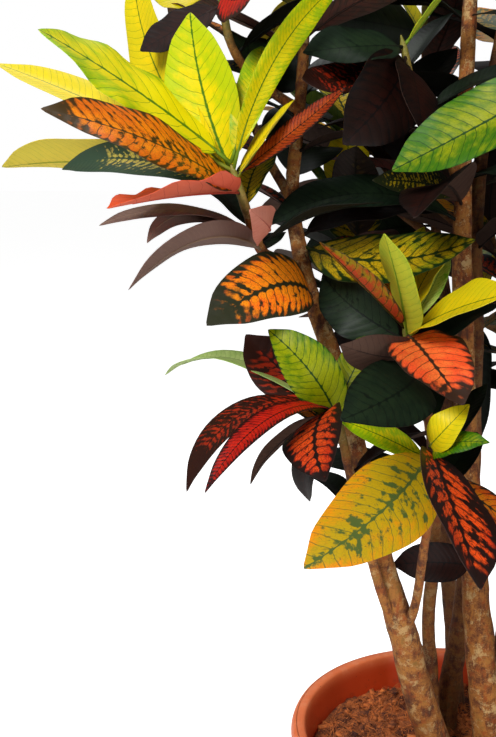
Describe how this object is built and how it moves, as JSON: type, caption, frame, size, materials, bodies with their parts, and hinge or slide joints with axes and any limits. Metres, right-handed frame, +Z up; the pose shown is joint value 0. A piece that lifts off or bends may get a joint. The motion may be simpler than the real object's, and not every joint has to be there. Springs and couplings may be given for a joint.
{
  "type": "potted croton",
  "caption": "Bushy croton house plant with bare lower stems and mottled yellow, green, orange and red leaves, in a round terracotta-coloured pot of fibrous soil.",
  "frame": {"origin": "centre of the pot's flat base, at floor level", "axes": "+Z up along the pot's axis, -Y towards the picture's viewer, +X to the viewer's right"},
  "size_m": [0.8567, 0.6631, 1.4433],
  "materials": {
    "pot": "satin terracotta",
    "soil": "rough coconut fibre",
    "leaves": "glossy mottled leaf",
    "bark": "rough bark"
  },
  "bodies": {
    "root": {"pot": "pot", "soil": "soil", "stem_front_left": "leaves", "stem_left": "leaves", "stem_back": "leaves", "stem_middle": "leaves", "stem_tall": "leaves", "stem_front_right": "leaves", "stem_right": "leaves", "stem_back_right": "leaves"}
  },
  "joints": []
}
